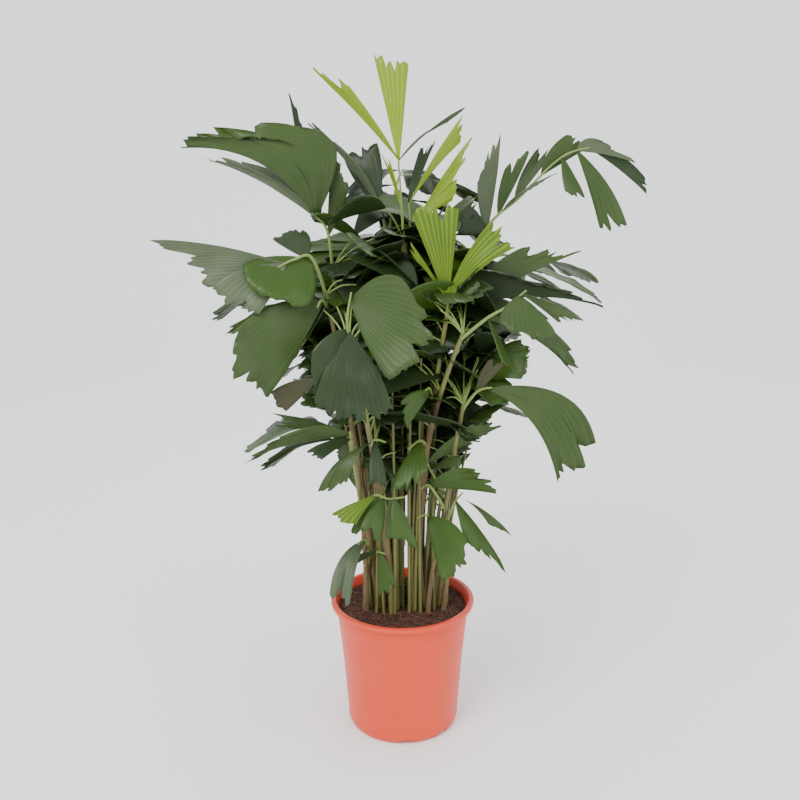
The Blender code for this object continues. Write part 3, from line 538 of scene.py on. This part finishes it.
# Fronds: each is a rib carrying fishtail leaflets. A leaflet is a pleated wedge with a jagged outer edge,
# folded like a fan. Colours are dealt out by leaflet age for young, lime, fresh, mid and old; dark is partly
# a deeper green and partly painted shade, and grey is painted sheen, the glossy leaves' reflection laid into
# colour.
FRONDS = {
    "frond_top": ("cane_top", ((0.6, 81, 1.5), (0.3, 86, 1.4), (-0.2, 94.4, 1)), (
        ((-13.2, 107.8), (-7.8, 105.4), (-0.3, 94.4), 0, 0.05, 0.05, "young"),
        ((-3.8, 109.5), (1.4, 108.0), (-0.1, 94.4), 2, 0.02, 0.0, "young"),
        ((-3.1, 95.9), (-1.6, 94.6), (0.2, 87), 0, 0.1, 0.0, "young"),
        ((10.2, 102.2), (7.5, 100.2), (0.0, 94.2), 4, 0.12, 0.05, "grey_sheen"),
    )),
    "frond_young_right": ("cane_young_right", ((2.2, 77, 3), (1.6, 84, 3), (1.3, 88, 3)), (
        ((9.9, 101.5), (9.3, 97.0), (1.5, 87.8), 3, 0.1, 0.05, "young"),
        ((11.0, 98.4), (7.6, 88.5), (1.7, 83.5), 1, 0.15, 0.05, "young"),
        ((5.5, 97.2), (3.2, 96.0), (1.3, 88), 7, 0.1, 0.0, "dark"),
    )),
    "frond_fan": ("cane_fan", ((7.4, 70.5, -6), (7.3, 73.2, -7)), (
        ((8.9, 87.2), (1.8, 86.2), (7.2, 73), -8, 0.05, 0.2, "lime"),
        ((17.8, 81.2), (14.0, 85.2), (7.4, 73), -8, 0.2, 0.15, "lime"),
        ((1.1, 82.2), (1.6, 79.8), (7.2, 73), -11, 0.1, 0.0, "lime"),
    )),
    "frond_upper_left": ("cane_upper_left", ((-10.6, 77, 0), (-11.2, 83.8, -1), (-13.5, 86.5, -2)), (
        ((-34.0, 96.6), (-17.3, 99.8), (-13.0, 86.0), -3, 0.75, 0.1, "mid"),
        ((-16.4, 104.2), (-12.0, 95.5), (-12.4, 85.5), 1, 0.02, 0.0, "dark"),
        ((-9.6, 96.2), (-7.6, 90.5), (-11.0, 83), 0, 0.08, 0.1, "mid"),
        ((-30.0, 95.4), (-20.5, 93.6), (-13.0, 86), 4, 0.2, 0.1, "grey_sheen"),
    )),
    "frond_back_left": ("cane_back", ((-2.0, 81, 7), (-2.6, 86, 8), (-3.6, 88, 9)), (
        ((-14.0, 100.0), (-10.0, 97.4), (-3.2, 87), 9, 0.2, 0.2, "grey_sheen"),
        ((-8.6, 94.6), (-3.4, 97.0), (-3.4, 87.6), 11, 0.05, 0.1, "dark"),
    )),
    "frond_left": ("cane_left", ((-11.6, 73, -5), (-13.6, 79.6, -8), (-16.5, 79.4, -10), (-19, 78.2, -11)), (
        ((-14.2, 72.2), (-24.6, 79.0), (-14.0, 80), -12.5, 0.05, 0.25, "fresh"),
        ((-39.0, 82.8), (-30.0, 75.2), (-18.2, 78.6), -10, 0.03, -0.08, "grey_sheen"),
        ((-29.5, 74.9), (-22.3, 70.7), (-18.0, 78), -13, 0.15, 0.1, "grey_sheen"),
        ((-19.8, 83.0), (-14.5, 84.0), (-14.5, 79.8), -5, 0.1, 0.1, "dark"),
    )),
    "frond_left_hanging": ("cane_left", ((-11.6, 71, -5), (-12.2, 73, -9), (-13.0, 72, -13)), (
        ((-20.8, 57.5), (-25.4, 68.6), (-12.8, 72), -15, 0.12, 0.35, "mid"),
    )),
    "frond_left_low": ("cane_front", ((-8.2, 65, -13), (-10.8, 62.6, -12), (-13.5, 60.3, -11.5)), (
        ((-21.0, 58.2), (-18.6, 55.0), (-13.4, 60.2), -12, 0.1, 0.1, "old"),
    )),
    "frond_front": ("cane_front", ((-8.2, 66, -13), (-8.4, 70, -15.5), (-7.7, 74.2, -18)), (
        ((-1.0, 60.3), (1.0, 76.6), (-7.7, 74.4), -21, 0.05, 0.36, "mid"),
        ((-1.4, 55.3), (-9.5, 53.6), (-7.6, 67), -18, 0.05, 0.15, "dark"),
        ((-9.0, 53.6), (-13.9, 57.0), (-8.0, 67), -17.5, 0.05, 0.15, "dark"),
        ((-13.7, 57.5), (-14.0, 64.6), (-8.2, 67.4), -17, 0.05, 0.10, "dark"),
    )),
    "frond_lower_left": ("cane_lower_left", ((-8.2, 49, -10), (-8.4, 51.6, -11)), (
        ((-21.5, 55.0), (-20.0, 52.6), (-8.6, 51.6), -9, 0.05, 0.0, "mid"),
        ((-25.4, 46.1), (-20.0, 50.6), (-8.6, 51.0), -13, 0.2, 0.1, "mid"),
        ((-15.8, 48.0), (-13.2, 46.6), (-8.4, 50.2), -16, 0.1, 0.0, "dark"),
    )),
    "frond_centre_left": ("cane_front", ((-4.6, 49, -8), (-4.2, 50.2, -10.5), (-2.6, 49.8, -12)), (
        ((-13.9, 41.0), (-9.0, 42.8), (-4.3, 50), -14, 0.35, 0.1, "mid"),
        ((-2.2, 42.0), (-5.3, 43.0), (-3.6, 49.8), -14, 0.1, 0.1, "dark"),
    )),
    "frond_centre": ("cane_fan", ((4.0, 49, -3.8), (3.0, 50, -7), (1.2, 48.6, -10)), (
        ((-1.6, 41.0), (4.3, 44.6), (1.4, 48.6), -12, 0.1, 0.2, "fresh"),
    )),
    "frond_centre_small": ("cane_fan", ((5.2, 56, -4.5), (4.6, 58.6, -7.5), (3.9, 58.4, -9)), (
        ((1.3, 52.3), (0.0, 56.5), (3.9, 58.4), -11, 0.1, 0.1, "fresh"),
    )),
    "frond_right": ("cane_right", ((9.8, 66.5, -9), (13.5, 70, -11), (16.5, 71.8, -12), (19.6, 74.4, -13)), (
        ((24.6, 67.5), (15.6, 69.2), (19.0, 73.8), -16, 0.05, 0.25, "mid"),
        ((28.2, 69.7), (24.8, 69.2), (19.4, 74), -12, 0.1, 0.0, "mid"),
        ((18.4, 60.8), (16.2, 62.8), (13.6, 70), -15, 0.1, 0.0, "fresh"),
        ((28.0, 60.4), (27.2, 64.8), (13.5, 69.8), -9, 0.25, 0.1, "mid"),
    )),
    "frond_right_back": ("cane_right_back", ((10.6, 69, 1.5), (11.3, 72.5, 0), (11.8, 73.6, -1)), (
        ((28.0, 80.4), (19.0, 81.2), (11.6, 73.6), 2, 0.12, 0.1, "mid"),
        ((32.5, 71.8), (15.5, 77.2), (11.4, 73), -2, 0.3, 0.1, "dark"),
    )),
    "frond_droop": ("cane_droop", ((10.0, 55, -7), (12.2, 58.2, -9), (14.5, 58.8, -10)), (
        ((25.6, 42.6), (31.8, 49.4), (14.3, 58.8), -12, 0.5, 0.1, "mid"),
        ((16.4, 62.6), (14.0, 63.6), (12.2, 58.2), -8, 0.1, 0.0, "old"),
    )),
    "frond_upper_right": ("cane_upper_right", (
        (12.5, 77, 7), (13, 83, 6.5), (14.5, 85.6, 6), (18, 88.5, 5.5), (20.5, 91, 5), (23, 93.5, 4.5),
        (25.5, 95.2, 4), (28.5, 96, 4)), (
        ((15.3, 98.1), (11.8, 91.0), (13.2, 83.6), 8, 0.05, 0.15, "grey_sheen"),
        ((8.3, 83.0), (10.3, 87.6), (13.1, 83.2), 3, 0.1, 0.1, "dark"),
        ((19.6, 95.6), (15.8, 93.0), (15.0, 86.0), 6, 0.05, 0.1, "mid"),
        ((24.3, 96.8), (20.4, 95.6), (17.5, 88.0), 7, 0.10, 0.1, "mid"),
        ((24.0, 92.6), (20.0, 90.0), (15.6, 86.6), 2, 0.15, 0.1, "grey_sheen"),
        ((29.5, 96.6), (25.0, 98.0), (21.5, 92.0), 5, 0.15, 0.1, "mid"),
        ((35.5, 93.6), (30.3, 97.0), (26.5, 95.4), 4, 0.20, 0.1, "grey_sheen"),
        ((28.2, 88.6), (25.2, 89.8), (24.6, 94.6), 1, 0.05, 0.2, "mid"),
        ((35.0, 84.2), (30.8, 83.6), (26.5, 95.4), 2, 0.2, 0.05, "mid"),
        ((38.2, 88.0), (36.6, 92.0), (28.2, 96), 5, 0.15, 0.1, "dark"),
    )),
    "frond_low_right": ("cane_low_right", ((6.5, 41.4, -2), (5.0, 44.4, -3.4), (3.8, 46.8, -4.5)), (
        ((16.6, 52.7), (11.6, 53.0), (4.0, 46.6), -6, 0.05, 0.0, "mid"),
        ((10.4, 47.6), (9.4, 45.4), (4.6, 45.4), -8, 0.1, 0.0, "mid"),
    )),
    "frond_low_strip": ("cane_droop", ((6.6, 38, -2.6), (4.6, 42.2, -5.5), (3.2, 41.8, -8)), (
        ((16.0, 40.8), (12.0, 45.4), (4.6, 42.2), -8, 0.15, 0.05, "fresh"),
    )),
    "frond_base_right": ("cane_short_right", (
        (7.1, 35.4, -6.5), (8.2, 38, -8), (9.0, 39.8, -9), (10.0, 41, -10)), (
        ((18.2, 33.4), (14.4, 35.4), (9.9, 41), -10, 0.2, 0.0, "mid"),
        ((17.6, 26.6), (10.8, 32.4), (9.2, 40), -12, 0.15, 0.05, "fresh"),
    )),
    "frond_base_centre": ("cane_low_right", ((7.0, 32, -2.1), (4.4, 36.8, -6), (2.6, 36.6, -9)), (
        ((7.2, 25.2), (11.0, 33.0), (2.9, 36.5), -12, 0.08, 0.28, "fresh"),
    )),
    "frond_base_left": ("cane_lower_left", (
        (-6.8, 38, -6.6), (-4.4, 40.6, -9), (-2.2, 40.0, -10.5), (0.4, 40.3, -12)), (
        ((-11.9, 37.3), (-7.7, 35.4), (-4.6, 40.4), -12, 0.1, 0.1, "lime"),
        ((-8.6, 34.4), (-4.4, 34.2), (-4.0, 40.4), -10.5, 0.1, 0.15, "fresh"),
        ((-2.6, 32.8), (1.6, 34.6), (-1.0, 40.2), -13, 0.1, 0.15, "mid"),
        ((-3.5, 32.6), (-7.0, 34.6), (-2.5, 40), -14, 0.1, 0.1, "fresh"),
        ((3.2, 30.0), (-1.5, 33.5), (0.2, 40.2), -14, 0.1, 0.1, "fresh"),
    )),
    "frond_over_rim": ("cane_short_left", ((-5.4, 30.6, -3), (-6.2, 32.8, -6), (-7.3, 32, -9)), (
        ((-8.8, 20.8), (-12.3, 23.0), (-7.2, 32), -14, 0.5, 0.1, "grey_sheen"),
    )),
    "frond_base_low": ("cane_short_left", ((-5.4, 29.6, -2.6), (-4.2, 30.6, -4.6), (-2.8, 30.2, -6)), (
        ((-3.9, 22.6), (-0.8, 23.8), (-2.9, 30.1), -7, 0.1, 0.1, "fresh"),
        ((-9.3, 27.0), (-8.6, 29.0), (-3.8, 30.4), -9, 0.1, 0.0, "dark"),
    )),
}
LEAF_COLOURS = {
    "young": ((0.11, 0.19, 0.006), (0.21, 0.31, 0.014)),
    "lime": ((0.036, 0.080, 0.003), (0.12, 0.20, 0.008)),
    "fresh": ((0.014, 0.038, 0.003), (0.044, 0.092, 0.008)),
    "mid": ((0.012, 0.030, 0.005), (0.052, 0.090, 0.018)),
    # The dark tone is partly the deep green of mature leaflets and partly painted shade, for leaflets lying
    # in shadow beneath others and in the crown's middle.
    "dark": ((0.006, 0.015, 0.004), (0.026, 0.048, 0.012)),
    # The grey tone is painted sheen: a pale grey-green that lays the sky's reflection on glossy leaves into
    # their colour.
    "grey_sheen": ((0.040, 0.062, 0.028), (0.100, 0.130, 0.068)),
    "old": ((0.022, 0.024, 0.008), (0.060, 0.056, 0.020)),
}
LEAF_HALF_THICK = 0.025
LEAF_ROOT_WIDE = 0.35
CUP = 0.06                    # how far a leaf's sides droop, as a share of its width
RIPPLE = 0.9
RIB_FOOT_R, RIB_TIP_R = 0.30, 0.13
RIB_SIDES = 8
YOUNG_FOLD = 0.20
SOFT_FOLD = 0.055
YOUNG_BELLY = 0.0
YOUNG_KINDS = ("young", "lime")
YOUNG_VEIN, OLDER_VEIN = 1.5, 0.85
FULL_BELLY = 0.42
blade_shapes = {kind: bmesh.new() for kind in LEAF_COLOURS}
rib_shape = bmesh.new()
rib_thick = rib_shape.verts.layers.float.new("thick")
draw = random.Random(7)


def jagged(across, seed, bite):
    """The outer edge's depth: a few long teeth with short ones between, as if bitten off."""
    coarse = noise.noise(Vector((across * 4.2, seed, 0.0)))
    middle = noise.noise(Vector((across * 10.5, seed, 3.0)))
    fine = noise.noise(Vector((across * 31.0, seed, 6.0)))
    return 1.0 + bite * (coarse * 1.3 + middle * 0.8 + fine * 0.5) - bite * 0.35


def leaflet(shape, root, tip, heel, arch, bulge, seed, fold=SOFT_FOLD, belly=FULL_BELLY):
    """One fishtail leaflet: rays fan from its root to the outer edge, fold sets how deep its pleats are, and
    belly how far its sides swell out past a straight wedge."""
    uv = shape.loops.layers.uv.verify()
    chord = tip - heel
    wide = chord.length
    outward = (tip + heel) / 2 - root
    reach = outward.length
    outward.normalize()
    side = chord.normalized()
    face = outward.cross(side).normalized()
    lift = Vector((0, 0, 1)) - outward * outward.z
    pleats = max(5, min(17, int(wide * 1.25)))
    columns = pleats * 2
    rows = 14 if reach > 12 else 10
    bite = 0.17 if wide > 6 else 0.22
    sheet = []
    for row in range(rows + 1):
        along = row / rows
        line = []
        for column in range(columns + 1):
            across = column / columns
            end = heel.lerp(tip, across) + outward * bulge * wide * 4 * across * (1 - across)
            tooth = jagged(across, seed, bite * (0.25 + 0.75 * math.sin(math.pi * across)))
            end = root + (end - root) * min(tooth, 1.02)
            start = root + side * LEAF_ROOT_WIDE * (across - 0.5)
            knee = (start + end) / 2 + lift * arch * reach + side * (across - 0.5) * wide * belly
            place = curve_point(start, knee, end, along)
            pleat = (1 if column % 2 else -1) * min(fold, along * wide / columns * 0.42)
            wave = noise.noise(place * 0.13 + Vector((seed, 0, 0))) + 0.5 * noise.noise(place * 0.33)
            ripple = RIPPLE * wave * along * min(1.0, wide / 7)
            cup = CUP * wide * along * (2 * across - 1) ** 2
            line.append(place + face * (pleat + ripple - cup))
        sheet.append(line)
    skins = []
    for hand in (1, -1):
        skin = [[shape.verts.new(place + face * LEAF_HALF_THICK * hand) for place in line] for line in sheet]
        skins.append(skin)
        for row in range(rows):
            for i in range(columns):
                corners = [(row, i), (row, i + 1), (row + 1, i + 1), (row + 1, i)]
                if hand < 0:
                    corners.reverse()
                blade_face = shape.faces.new([skin[r][c] for r, c in corners])
                for corner, (r, c) in zip(blade_face.loops, corners):
                    corner[uv].uv = (c / 2, r / rows)
    top, under = skins
    rim = [(row, columns) for row in range(rows + 1)]
    loop = [(0, c) for c in range(columns)] + rim + [(rows, c) for c in range(columns - 1, -1, -1)]
    loop += [(r, 0) for r in range(rows - 1, 0, -1)]
    for (r0, c0), (r1, c1) in zip(loop, loop[1:] + loop[:1]):
        shape.faces.new((top[r1][c1], top[r0][c0], under[r0][c0], under[r1][c1]))


def vein_group():
    """Fine lengthwise veins, read from the leaflet's own map: one strong to each pleat, thin ones between."""
    group = bpy.data.node_groups.new("veins", "ShaderNodeTree")
    group.interface.new_socket("Color", in_out="INPUT", socket_type="NodeSocketColor")
    group.interface.new_socket("Vein", in_out="INPUT", socket_type="NodeSocketColor")
    group.interface.new_socket("Color", in_out="OUTPUT", socket_type="NodeSocketColor")
    group.interface.new_socket("Height", in_out="OUTPUT", socket_type="NodeSocketFloat")
    nodes, links = group.nodes, group.links
    ends = nodes.new("NodeGroupInput"), nodes.new("NodeGroupOutput")
    place = nodes.new("ShaderNodeTexCoord")
    parts = nodes.new("ShaderNodeSeparateXYZ")
    links.new(place.outputs["UV"], parts.inputs[0])
    waves = []
    for count, sharp in ((1.0, 6.0), (5.0, 2.0)):
        turn = nodes.new("ShaderNodeMath")
        turn.operation = "MULTIPLY"
        turn.inputs[1].default_value = math.pi * count
        wave = nodes.new("ShaderNodeMath")
        wave.operation = "COSINE"
        size = nodes.new("ShaderNodeMath")
        size.operation = "ABSOLUTE"
        peak = nodes.new("ShaderNodeMath")
        peak.operation = "POWER"
        peak.inputs[1].default_value = sharp
        links.new(parts.outputs["X"], turn.inputs[0])
        links.new(turn.outputs[0], wave.inputs[0])
        links.new(wave.outputs[0], size.inputs[0])
        links.new(size.outputs[0], peak.inputs[0])
        waves.append(peak)
    strong = nodes.new("ShaderNodeMath")
    strong.operation = "MULTIPLY"
    strong.inputs[1].default_value = 0.55
    weak = nodes.new("ShaderNodeMath")
    weak.operation = "MULTIPLY_ADD"
    weak.inputs[1].default_value = 0.2
    links.new(waves[0].outputs[0], strong.inputs[0])
    links.new(waves[1].outputs[0], weak.inputs[0])
    links.new(strong.outputs[0], weak.inputs[2])
    mix = nodes.new("ShaderNodeMix")
    mix.data_type = "RGBA"
    links.new(weak.outputs[0], mix.inputs["Factor"])
    links.new(ends[0].outputs["Color"], mix.inputs["A"])
    links.new(ends[0].outputs["Vein"], mix.inputs["B"])
    links.new(mix.outputs["Result"], ends[1].inputs["Color"])
    links.new(weak.outputs[0], ends[1].inputs["Height"])
    return group


veins = vein_group()


def leaf_finish(name, dark, light, vein_share):
    """Waxy leaf: mottled green crossed by its veins, which stand a little proud."""
    material = mottled(name, dark, light, 11.0, 0.36, 0.25, 0.0005)
    nodes, links = material.node_tree.nodes, material.node_tree.links
    surface = nodes["Principled BSDF"]
    colour = surface.inputs["Base Color"].links[0].from_socket
    grain = surface.inputs["Normal"].links[0].from_socket
    lines = nodes.new("ShaderNodeGroup")
    lines.node_tree = veins
    lines.inputs["Vein"].default_value = (*[min(1.0, value * vein_share) for value in light], 1.0)
    raised = nodes.new("ShaderNodeBump")
    raised.inputs["Strength"].default_value = 0.5
    raised.inputs["Distance"].default_value = 0.0008
    links.new(colour, lines.inputs["Color"])
    links.new(lines.outputs["Color"], surface.inputs["Base Color"])
    links.new(lines.outputs["Height"], raised.inputs["Height"])
    links.new(grain, raised.inputs["Normal"])
    links.new(raised.outputs["Normal"], surface.inputs["Normal"])
    surface.inputs["Specular IOR Level"].default_value = 0.24
    surface.inputs["Coat Weight"].default_value = 0.07
    surface.inputs["Coat Roughness"].default_value = 0.28
    return material


def nearest_on(points, target):
    """The point of a chain of straight runs that lies nearest the target."""
    best = None
    for start, end in zip(points, points[1:]):
        run = end - start
        along = max(0.0, min(1.0, (target - start).dot(run) / run.length_squared))
        place = start + run * along
        if best is None or (place - target).length < (best - target).length:
            best = place
    return best


def smooth_line(points, parts=6):
    """A rounder line through the same points."""
    line = []
    last = len(points) - 1
    for i in range(last):
        before, start = points[max(i - 1, 0)], points[i]
        end, after = points[i + 1], points[min(i + 2, last)]
        for step in range(parts):
            t = step / parts
            line.append(0.5 * (2 * start + (end - before) * t
                               + (2 * before - 5 * start + 4 * end - after) * t * t
                               + (3 * start - before - 3 * end + after) * t ** 3))
    line.append(points[-1])
    return line


def add_rib(points, foot_r, tip_r):
    """A rib's line, with its half-thickness at each point, for the tree below to give it its body."""
    line = smooth_line(points)
    last = len(line) - 1
    before = None
    for index, place in enumerate(line):
        vertex = rib_shape.verts.new(place)
        vertex[rib_thick] = (foot_r + (tip_r - foot_r) * index / last) * CM
        if before is not None:
            rib_shape.edges.new((before, vertex))
        before = vertex


for name, (carrier, rib, leaves) in FRONDS.items():
    start = nearest_on(axes[carrier], spot(*rib[0]))
    line = [start] + [spot(*point) for point in rib[1:]]
    add_rib(line, RIB_FOOT_R, RIB_TIP_R)
    middle = sum(point[2] for point in rib) / len(rib)
    for tip, heel, root, back, arch, bulge, kind in leaves:
        at = nearest_on(line, spot(*root, middle))
        young = kind in YOUNG_KINDS
        fold, belly = (YOUNG_FOLD, YOUNG_BELLY) if young else (SOFT_FOLD, FULL_BELLY)
        far, near = spot(*tip, back), spot(*heel, back)
        leaflet(blade_shapes[kind], at, far, near, arch, bulge, draw.uniform(0, 50), fold, belly)


# Fronds behind: the side the photograph hides, each an arching rib with paired leaflets.
BACK_FRONDS = {
    "back_frond_a": ("cane_far_right", 62, 52, 20, 14),
    "back_frond_b": ("cane_far_right", 46, 68, 20, 9),
    "back_frond_c": ("cane_upper_right", 66, 42, 16, 10),
    "back_frond_d": ("cane_far_right", 67, 90, 18, 18),
    "back_frond_e": ("cane_far_left", 62, 122, 20, 13),
    "back_frond_f": ("cane_far_left", 48, 102, 20, 9),
    "back_frond_g": ("cane_upper_left", 64, 132, 15, 9),
    "back_frond_h": ("cane_far_left", 36, 128, 15, 10),
    "back_frond_i": ("cane_back", 78, 75, 12, 14),
}
BACK_LEAVES = 5
BACK_LEAF_LONG = 14.0
BACK_LEAF_WIDE = 7.0
BACK_LEAF_OPEN = math.radians(50.0)
BACK_LEAF_DROP = 0.35
BACK_RIB_STEPS = 4
BACK_RIB_FOOT_R = 0.28
BACK_RIB_KNEE = (0.35, 1.1)   # the rib's bend, as shares of its reach and its rise
BACK_FIRST_LEAF = 0.4         # how far along the rib the first leaf grows
BACK_LEAF_ARCH, BACK_LEAF_BULGE = 0.2, 0.15
for name, (carrier, height, heading, reach, rise) in BACK_FRONDS.items():
    axis = axes[carrier]
    start = nearest_on(axis, Vector((axis[-1].x, axis[-1].y, height)))
    turn = math.radians(heading)
    away = Vector((math.cos(turn), math.sin(turn), 0.0))
    aside = Vector((-math.sin(turn), math.cos(turn), 0.0))
    end = start + away * reach + Vector((0, 0, rise))
    knee = start + away * reach * BACK_RIB_KNEE[0] + Vector((0, 0, rise * BACK_RIB_KNEE[1]))
    line = [curve_point(start, knee, end, step / BACK_RIB_STEPS) for step in range(BACK_RIB_STEPS + 1)]
    add_rib(line, BACK_RIB_FOOT_R, RIB_TIP_R)
    for index in range(BACK_LEAVES):
        hand = 1 if index % 2 else -1
        root = curve_point(
            start, knee, end, BACK_FIRST_LEAF + (1 - BACK_FIRST_LEAF) * index / (BACK_LEAVES - 1))
        opening = BACK_LEAF_OPEN if index < BACK_LEAVES - 1 else 0.0
        pointing = away * math.cos(opening) + aside * hand * math.sin(opening)
        pointing.z = -BACK_LEAF_DROP
        across = pointing.cross(Vector((0, 0, 1))).normalized()
        middle = root + pointing * BACK_LEAF_LONG
        half = across * BACK_LEAF_WIDE / 2
        # dark here, as everywhere, is partly painted shade.
        kind = draw.choice(("mid", "mid", "dark", "fresh"))
        leaflet(blade_shapes[kind], root, middle + half + pointing, middle - half - pointing,
                BACK_LEAF_ARCH, BACK_LEAF_BULGE, draw.uniform(0, 50))

# Inner fronds: the crown's dense middle, short-stalked leaflets off the taller canes, kept inside its
# outline.
CROWN_OUTLINE = ((32, 4.5), (40, 8), (47, 11), (53, 15), (60, 19), (72, 19), (80, 17), (88, 12), (94, 6))
CROWN_MIDDLE = 0.5
INNER_FRONDS = 860
INNER_LOW, INNER_HIGH = 34.0, 84.0
INNER_FRONT = -9.0
INNER_FOOT_R, INNER_TIP_R = 0.16, 0.10
# Tones for the inner leaflets, mostly dark: partly painted shade for the crown's shadowed middle; grey is
# painted sheen.
INNER_SHADES = ("dark", "dark", "dark", "mid", "mid", "grey_sheen", "fresh", "fresh")


def seen(place):
    """Where a point is seen against the plane through the pot's axis."""
    share = -EYE.y / (place.y - EYE.y)
    return EYE.x + (place.x - EYE.x) * share, EYE.z + (place.z - EYE.z) * share


def inside_crown(place):
    across, up = seen(place)
    for (low, low_half), (high, high_half) in zip(CROWN_OUTLINE, CROWN_OUTLINE[1:]):
        if low <= up <= high:
            half = low_half + (high_half - low_half) * (up - low) / (high - low)
            return abs(across - CROWN_MIDDLE) < half
    return False


inner_canes = [name for name, cane in CANES.items() if cane[2][1] > 55]
for _ in range(INNER_FRONDS):
    carrier = draw.choice(inner_canes)
    axis = axes[carrier]
    height = draw.uniform(INNER_LOW, INNER_HIGH)
    start = nearest_on(axis, Vector((axis[-1].x, axis[-1].y, height)))
    turn = draw.uniform(0, 2 * math.pi)
    stalk = draw.uniform(3.0, 9.0)
    long = draw.uniform(8.0, 14.0)
    wide = draw.uniform(5.0, 9.5)
    pitch = draw.uniform(-0.5, 0.6)
    away = Vector((math.cos(turn), math.sin(turn), 0.0))
    root = start + away * stalk * 0.8 + Vector((0, 0, stalk * draw.uniform(0.2, 0.9)))
    pointing = (away + Vector((draw.uniform(-0.5, 0.5), draw.uniform(-0.5, 0.5), pitch))).normalized()
    across = pointing.cross(Vector((draw.uniform(-0.8, 0.8), draw.uniform(-0.8, 0.8), 1))).normalized()
    middle = root + pointing * long
    slope = draw.uniform(-0.35, 0.35)
    tip = middle + across * wide / 2 + pointing * wide * slope
    heel = middle - across * wide / 2 - pointing * wide * slope
    shade = draw.choice(INNER_SHADES)
    seed = draw.uniform(0, 50)
    if min(tip.y, heel.y) < INNER_FRONT or not (inside_crown(tip) and inside_crown(heel)):
        continue
    add_rib([start, (start + root) / 2 + Vector((0, 0, 0.6)), root], INNER_FOOT_R, INNER_TIP_R)
    leaflet(blade_shapes[shade], root, tip, heel, draw.uniform(0.05, 0.25), 0.15, seed)



def rib_tree():
    """Geometry Nodes that sweep a round section along every rib's line, as thick as its points say."""
    tree = bpy.data.node_groups.new("rib_sweep", "GeometryNodeTree")
    tree.interface.new_socket("Geometry", in_out="INPUT", socket_type="NodeSocketGeometry")
    tree.interface.new_socket("Sides", in_out="INPUT", socket_type="NodeSocketInt")
    tree.interface.new_socket("Material", in_out="INPUT", socket_type="NodeSocketMaterial")
    tree.interface.new_socket("Geometry", in_out="OUTPUT", socket_type="NodeSocketGeometry")
    nodes, links = tree.nodes, tree.links
    given, result = nodes.new("NodeGroupInput"), nodes.new("NodeGroupOutput")
    lines = nodes.new("GeometryNodeMeshToCurve")
    thick = nodes.new("GeometryNodeInputNamedAttribute")
    thick.data_type = "FLOAT"
    thick.inputs["Name"].default_value = "thick"
    profile = nodes.new("GeometryNodeCurvePrimitiveCircle")
    profile.inputs["Radius"].default_value = 1.0
    sweep = nodes.new("GeometryNodeCurveToMesh")
    sweep.inputs["Fill Caps"].default_value = True
    join = nodes.new("GeometryNodeRealizeInstances")
    dress = nodes.new("GeometryNodeSetMaterial")
    links.new(given.outputs["Geometry"], lines.inputs["Mesh"])
    links.new(lines.outputs["Curve"], sweep.inputs["Curve"])
    links.new(thick.outputs["Attribute"], sweep.inputs["Scale"])
    links.new(given.outputs["Sides"], profile.inputs["Resolution"])
    links.new(profile.outputs["Curve"], sweep.inputs["Profile Curve"])
    links.new(sweep.outputs["Mesh"], join.inputs["Geometry"])
    links.new(join.outputs["Geometry"], dress.inputs["Geometry"])
    links.new(given.outputs["Material"], dress.inputs["Material"])
    links.new(dress.outputs["Geometry"], result.inputs["Geometry"])
    return tree


for vertex in rib_shape.verts:
    vertex.co *= CM
rib_lines = bpy.data.meshes.new("rib_lines")
rib_shape.to_mesh(rib_lines)
rib_shape.free()
rib_green = mottled("rib_green", (0.10, 0.17, 0.03), (0.24, 0.32, 0.08), 14.0, 0.45, 0.3, 0.0006)
ribs = grown("frond_ribs", rib_lines, rib_tree(), {"Sides": RIB_SIDES, "Material": rib_green})
ribs.data.shade_smooth()
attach(ribs, "root")
carried = list(FRONDS) + list(BACK_FRONDS)
for kind, (dark, light) in LEAF_COLOURS.items():
    blade_mesh = finish_mesh(blade_shapes[kind], f"leaflets_{kind}", 180.0)
    blades = link_piece(f"leaflets_{kind}", blade_mesh)
    vein_share = YOUNG_VEIN if kind in YOUNG_KINDS else OLDER_VEIN
    blades.data.materials.append(leaf_finish(f"leaf_{kind}", dark, light, vein_share))
    if kind == "mid":
        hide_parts(*carried)
    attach(blades, "root")
